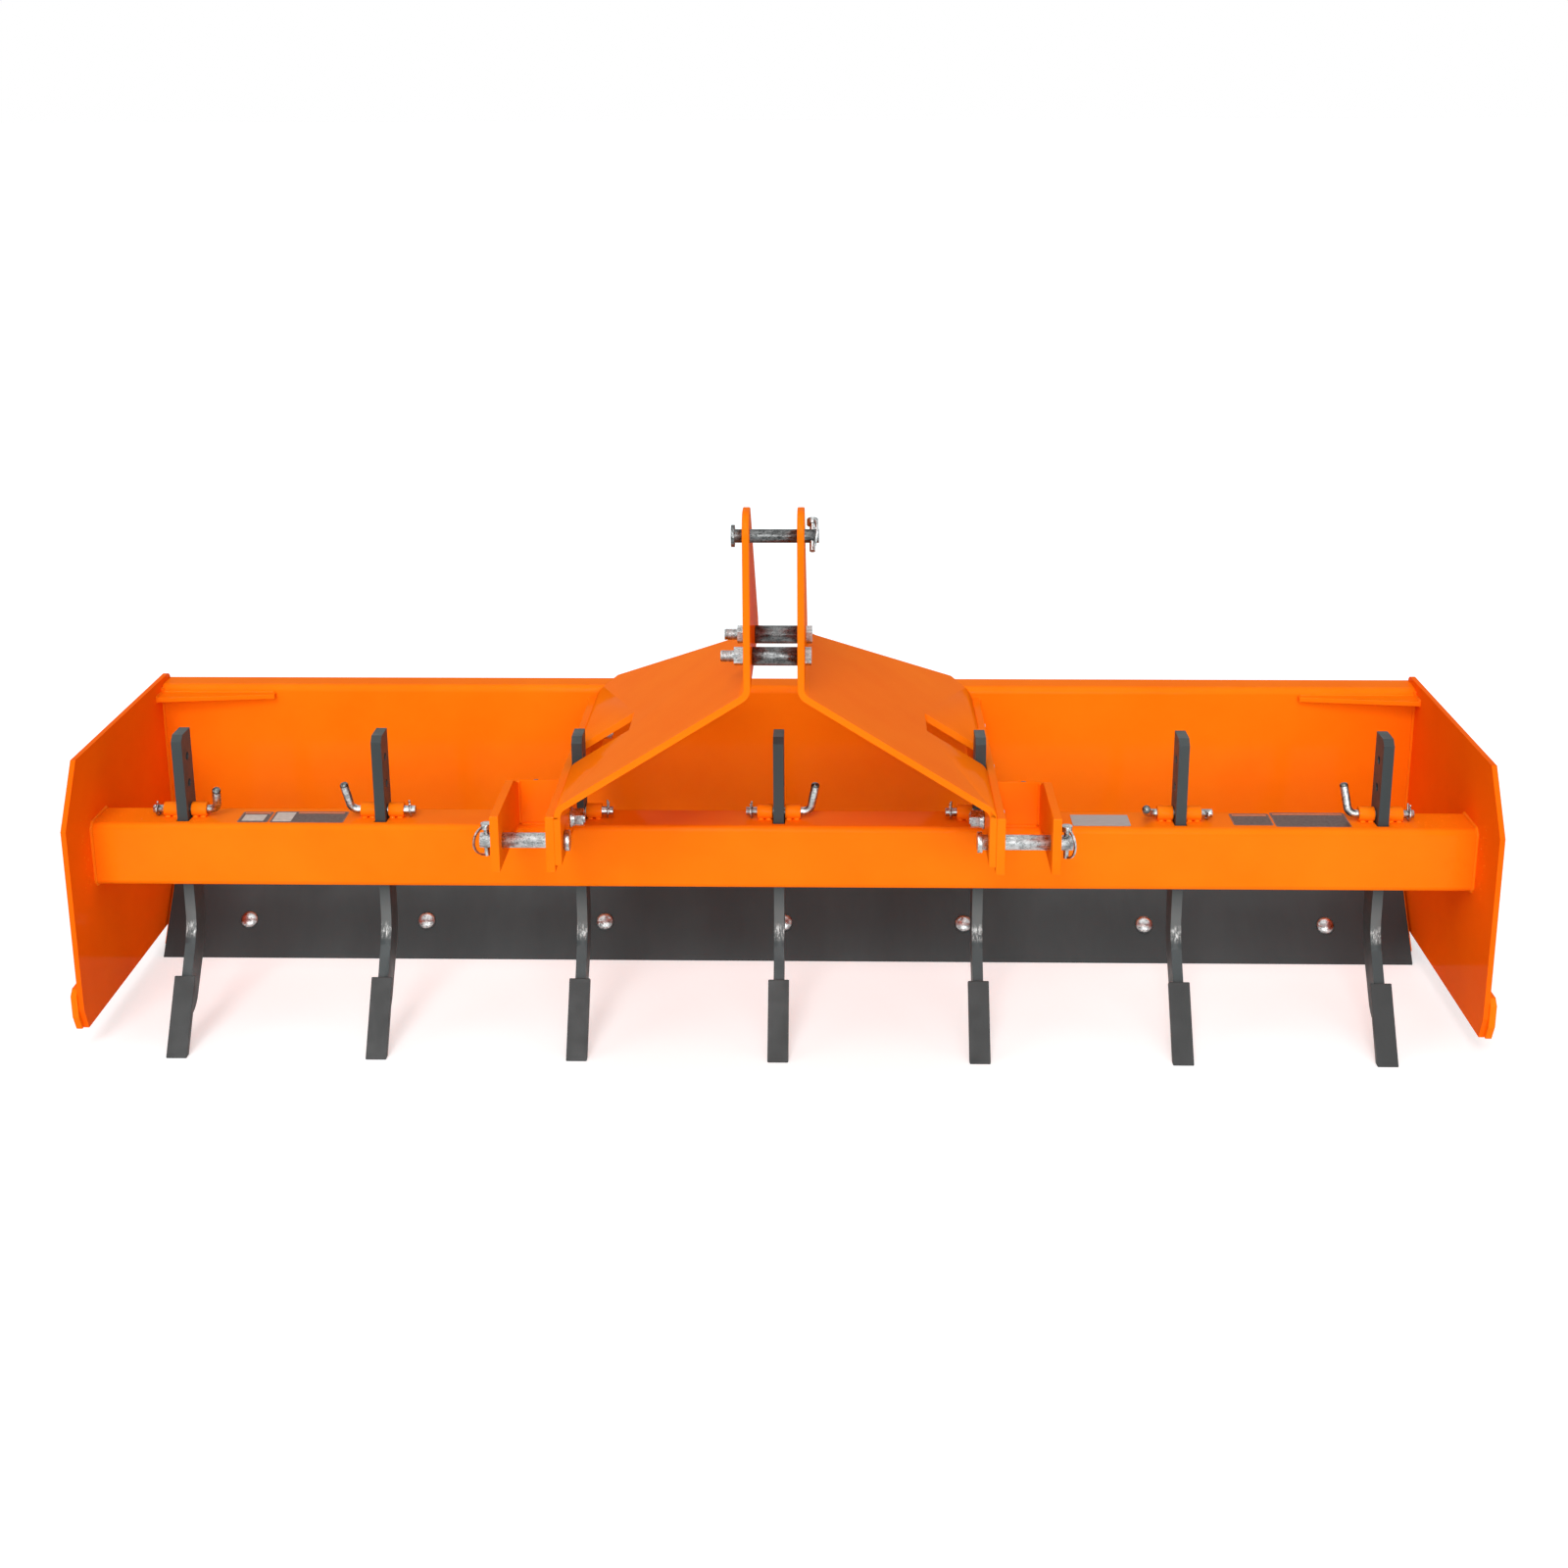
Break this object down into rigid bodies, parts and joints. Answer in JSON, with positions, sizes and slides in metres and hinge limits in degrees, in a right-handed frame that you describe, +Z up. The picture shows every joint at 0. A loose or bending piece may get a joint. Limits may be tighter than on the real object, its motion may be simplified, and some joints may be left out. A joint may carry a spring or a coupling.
{
  "type": "tractor box blade",
  "caption": "Rear-mounted tractor box blade: tool bar with ripper shanks, moldboard between side plates, cutting edges, skid shoes, A-frame hitch with clevis pins.",
  "frame": {"origin": "on the ground, in the middle of the part's bounding box", "axes": "+X to the right as seen from the tractor side, +Y from the hitch to the moldboard, +Z up"},
  "size_m": [2.154, 0.598, 0.87],
  "materials": {
    "orange_paint": "gloss",
    "dark_steel": "satin",
    "zinc": "satin"
  },
  "bodies": {
    "frame": {"tool_bar": "orange_paint", "pin_bushings": "orange_paint", "moldboard": "orange_paint", "front_cutting_edge": "dark_steel", "rear_cutting_edge": "dark_steel", "rear_blade_plate": "orange_paint", "side_plate_left": "orange_paint", "skid_shoe_left": "orange_paint", "corner_gusset_left": "orange_paint", "hitch_plate_left": "orange_paint", "hitch_ear_left": "orange_paint", "hitch_back_plate_left": "orange_paint", "mast_plate_left": "orange_paint", "side_plate_right": "orange_paint", "skid_shoe_right": "orange_paint", "corner_gusset_right": "orange_paint", "hitch_plate_right": "orange_paint", "hitch_ear_right": "orange_paint", "hitch_back_plate_right": "orange_paint", "mast_plate_right": "orange_paint", "shank_1": "dark_steel", "shank_2": "dark_steel", "shank_3": "dark_steel", "shank_4": "dark_steel", "shank_5": "dark_steel", "shank_6": "dark_steel", "shank_7": "dark_steel", "shank_points": "dark_steel", "mast_spacers": "zinc", "mast_bolts": "zinc", "flange_bolts": "zinc"},
    "pin_1": {"shank_pin_1": "zinc"},
    "pin_2": {"shank_pin_2": "zinc"},
    "pin_3": {"shank_pin_3": "zinc"},
    "pin_4": {"shank_pin_4": "zinc"},
    "pin_5": {"shank_pin_5": "zinc"},
    "pin_6": {"shank_pin_6": "zinc"},
    "pin_7": {"shank_pin_7": "zinc"},
    "lower_pin_left": {"lower_hitch_pin_left": "zinc", "lower_lynch_pin_left": "zinc"},
    "lower_pin_right": {"lower_hitch_pin_right": "zinc", "lower_lynch_pin_right": "zinc"},
    "top_pin": {"top_hitch_pin": "zinc", "top_lynch_pin": "zinc"}
  },
  "joints": [
    {"name": "shank_pin_1_turn", "type": "hinge", "parent": "frame", "child": "pin_1", "pos_m": [-0.9198, -0.0799, 0.3512], "axis": [1, 0, 0], "range_deg": [-115, 55]},
    {"name": "shank_pin_2_turn", "type": "hinge", "parent": "frame", "child": "pin_2", "pos_m": [-0.6132, -0.0799, 0.3512], "axis": [1, 0, 0], "range_deg": [-97, 73]},
    {"name": "shank_pin_3_turn", "type": "hinge", "parent": "frame", "child": "pin_3", "pos_m": [-0.3066, -0.0799, 0.3512], "axis": [1, 0, 0], "range_deg": [-77, 20]},
    {"name": "shank_pin_4_turn", "type": "hinge", "parent": "frame", "child": "pin_4", "pos_m": [0, -0.0799, 0.3512], "axis": [1, 0, 0], "range_deg": [-90, 80]},
    {"name": "shank_pin_5_turn", "type": "hinge", "parent": "frame", "child": "pin_5", "pos_m": [0.3066, -0.0799, 0.3512], "axis": [1, 0, 0], "range_deg": [-77, 20]},
    {"name": "shank_pin_6_turn", "type": "hinge", "parent": "frame", "child": "pin_6", "pos_m": [0.6132, -0.0799, 0.3512], "axis": [1, 0, 0], "range_deg": [-147, 23]},
    {"name": "shank_pin_7_turn", "type": "hinge", "parent": "frame", "child": "pin_7", "pos_m": [0.9198, -0.0799, 0.3512], "axis": [1, 0, 0], "range_deg": [-75, 95]},
    {"name": "lower_pin_left_turn", "type": "hinge", "parent": "frame", "child": "lower_pin_left", "pos_m": [-0.363, -0.264, 0.377], "axis": [1, 0, 0], "continuous": true},
    {"name": "lower_pin_right_turn", "type": "hinge", "parent": "frame", "child": "lower_pin_right", "pos_m": [0.363, -0.264, 0.377], "axis": [1, 0, 0], "continuous": true},
    {"name": "top_pin_turn", "type": "hinge", "parent": "frame", "child": "top_pin", "pos_m": [0, -0.264, 0.832], "axis": [1, 0, 0], "continuous": true}
  ]
}
